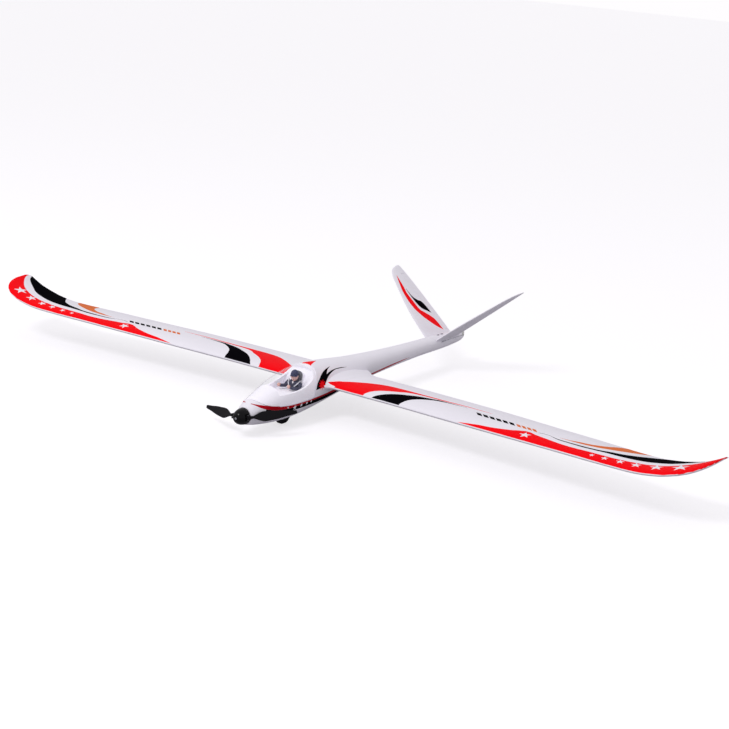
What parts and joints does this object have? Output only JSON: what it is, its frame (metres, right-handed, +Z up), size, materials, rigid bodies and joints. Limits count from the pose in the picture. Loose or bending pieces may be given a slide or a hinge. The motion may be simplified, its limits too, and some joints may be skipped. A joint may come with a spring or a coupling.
{
  "type": "rc glider",
  "caption": "V-tail electric model glider with folding propeller, clear cockpit hatch, curved wing tips, ailerons and ruddervators.",
  "frame": {"origin": "centre of the flat foot of the belly skid", "axes": "+X to the left wing tip, -Y to the nose, +Z up"},
  "size_m": [2.188, 1.1176, 0.2687],
  "materials": {
    "foam": "satin",
    "clear": "gloss",
    "black_plastic": "gloss",
    "carbon": "satin",
    "steel": "brushed",
    "motor_metal": "satin",
    "plywood": "matt",
    "servo_plastic": "gloss",
    "nylon": "satin",
    "battery_wrap": "gloss",
    "strap": "woven",
    "figure": "painted",
    "electronics": "gloss"
  },
  "bodies": {
    "airframe": {"fuselage_left": "foam", "fuselage_right": "foam", "wing_joiner": "carbon", "wing_panel_left": "foam", "wing_panel_right": "foam", "tail_fin_left": "foam", "tail_fin_right": "foam", "fin_bracket": "nylon", "fin_stubs": "carbon", "belly_skid": "black_plastic", "skid_screws": "steel", "guide_tubes": "nylon", "servo_frame": "plywood", "hatch_keepers": "steel", "motor_plate": "motor_metal", "motor_stator": "motor_metal", "motor_screws": "steel", "equipment_tray": "plywood", "flight_battery": "battery_wrap", "battery_strap": "strap", "speed_controller": "electronics", "receiver": "electronics", "aileron_servo_left": "servo_plastic", "aileron_servo_right": "servo_plastic", "aileron_servo_cover_left": "nylon", "aileron_servo_cover_right": "nylon", "tail_servo_left": "servo_plastic", "tail_servo_right": "servo_plastic"},
    "propeller": {"spinner": "black_plastic", "spinner_backplate": "black_plastic", "blade_hub": "black_plastic", "hub_nut": "steel", "spinner_screw": "steel", "blade_pins": "steel", "motor_shaft": "steel", "motor_bell": "motor_metal"},
    "blade_left": {"propeller_blade_left": "black_plastic"},
    "blade_right": {"propeller_blade_right": "black_plastic"},
    "hatch": {"canopy": "clear", "cockpit_tub": "foam", "pilot": "figure", "hatch_magnets": "steel"},
    "aileron_left_body": {"aileron_left": "foam", "aileron_horn_left": "nylon"},
    "aileron_arm_left": {"aileron_servo_arm_left": "nylon"},
    "aileron_rod_left": {"aileron_pushrod_left": "steel"},
    "ruddervator_left_body": {"ruddervator_left": "foam", "ruddervator_horn_left": "nylon"},
    "tail_arm_left": {"tail_servo_arm_left": "nylon"},
    "tail_rod_left": {"tail_pushrod_left": "steel"},
    "aileron_right_body": {"aileron_right": "foam", "aileron_horn_right": "nylon"},
    "aileron_arm_right": {"aileron_servo_arm_right": "nylon"},
    "aileron_rod_right": {"aileron_pushrod_right": "steel"},
    "ruddervator_right_body": {"ruddervator_right": "foam", "ruddervator_horn_right": "nylon"},
    "tail_arm_right": {"tail_servo_arm_right": "nylon"},
    "tail_rod_right": {"tail_pushrod_right": "steel"}
  },
  "joints": [
    {"name": "propeller_spin", "type": "hinge", "parent": "airframe", "child": "propeller", "pos_m": [0, -0.165, 0.052], "axis": [0, -1, 0], "continuous": true},
    {"name": "blade_fold_left", "type": "hinge", "parent": "propeller", "child": "blade_left", "pos_m": [0.02233, -0.175, 0.05474], "axis": [-0.1219, 0, 0.9925], "range_deg": [-60, 0]},
    {"name": "blade_fold_right", "type": "hinge", "parent": "propeller", "child": "blade_right", "pos_m": [-0.02233, -0.175, 0.04926], "axis": [0.1219, 0, -0.9925], "range_deg": [-20.5, 39.5]},
    {"name": "canopy_lift", "type": "slide", "parent": "airframe", "child": "hatch", "axis": [0, 0, 1], "range_m": [0, 0.08]},
    {"name": "aileron_left_hinge", "type": "hinge", "parent": "airframe", "child": "aileron_left_body", "pos_m": [0.638, 0.21823, 0.10021], "axis": [0.99, -0.1396, 0.019], "range_deg": [-20, 20]},
    {"name": "aileron_servo_left_turn", "type": "hinge", "parent": "airframe", "child": "aileron_arm_left", "pos_m": [0.6272, 0.14099, 0.0955], "axis": [0.99, -0.1396, 0.019], "range_deg": [-20, 20]},
    {"name": "aileron_pushrod_left_pivot", "type": "hinge", "parent": "aileron_arm_left", "child": "aileron_rod_left", "pos_m": [0.62759, 0.14099, 0.0755], "axis": [0.99, -0.1396, 0.019], "range_deg": [-20, 20]},
    {"name": "aileron_right_hinge", "type": "hinge", "parent": "airframe", "child": "aileron_right_body", "pos_m": [-0.638, 0.21823, 0.10021], "axis": [0.99, 0.1396, -0.019], "range_deg": [-20, 20]},
    {"name": "aileron_servo_right_turn", "type": "hinge", "parent": "airframe", "child": "aileron_arm_right", "pos_m": [-0.6272, 0.14099, 0.0955], "axis": [0.99, 0.1396, -0.019], "range_deg": [-20, 20]},
    {"name": "aileron_pushrod_right_pivot", "type": "hinge", "parent": "aileron_arm_right", "child": "aileron_rod_right", "pos_m": [-0.62759, 0.14099, 0.0755], "axis": [0.99, 0.1396, -0.019], "range_deg": [-20, 20]},
    {"name": "ruddervator_left_hinge", "type": "hinge", "parent": "airframe", "child": "ruddervator_left_body", "pos_m": [0.02514, 0.846, 0.11091], "axis": [0.7647, -0.042, 0.643], "range_deg": [-20, 20]},
    {"name": "tail_servo_left_turn", "type": "hinge", "parent": "airframe", "child": "tail_arm_left", "pos_m": [0.0085, 0.207, 0.09], "axis": [0, 0, 1], "range_deg": [-20, 20]},
    {"name": "tail_pushrod_left_slide", "type": "slide", "parent": "airframe", "child": "tail_rod_left", "axis": [-0.0188, 0.9998, -0.0071], "range_m": [-0.00454, 0.00454]},
    {"name": "ruddervator_right_hinge", "type": "hinge", "parent": "airframe", "child": "ruddervator_right_body", "pos_m": [-0.02514, 0.846, 0.11091], "axis": [0.7647, 0.042, -0.643], "range_deg": [-20, 20]},
    {"name": "tail_servo_right_turn", "type": "hinge", "parent": "airframe", "child": "tail_arm_right", "pos_m": [-0.0085, 0.207, 0.09], "axis": [0, 0, -1], "range_deg": [-20, 20]},
    {"name": "tail_pushrod_right_slide", "type": "slide", "parent": "airframe", "child": "tail_rod_right", "axis": [0.0188, 0.9998, -0.0071], "range_m": [-0.00454, 0.00454]}
  ],
  "couplings": [
    {"joint": "aileron_servo_left_turn", "follows": "aileron_left_hinge", "ratio": 1},
    {"joint": "aileron_pushrod_left_pivot", "follows": "aileron_left_hinge", "ratio": -1},
    {"joint": "aileron_servo_right_turn", "follows": "aileron_right_hinge", "ratio": 1},
    {"joint": "aileron_pushrod_right_pivot", "follows": "aileron_right_hinge", "ratio": -1},
    {"joint": "tail_servo_left_turn", "follows": "ruddervator_left_hinge", "ratio": 1},
    {"joint": "tail_pushrod_left_slide", "follows": "ruddervator_left_hinge", "m_per_rad": 0.013},
    {"joint": "tail_servo_right_turn", "follows": "ruddervator_right_hinge", "ratio": 1},
    {"joint": "tail_pushrod_right_slide", "follows": "ruddervator_right_hinge", "m_per_rad": 0.013}
  ]
}
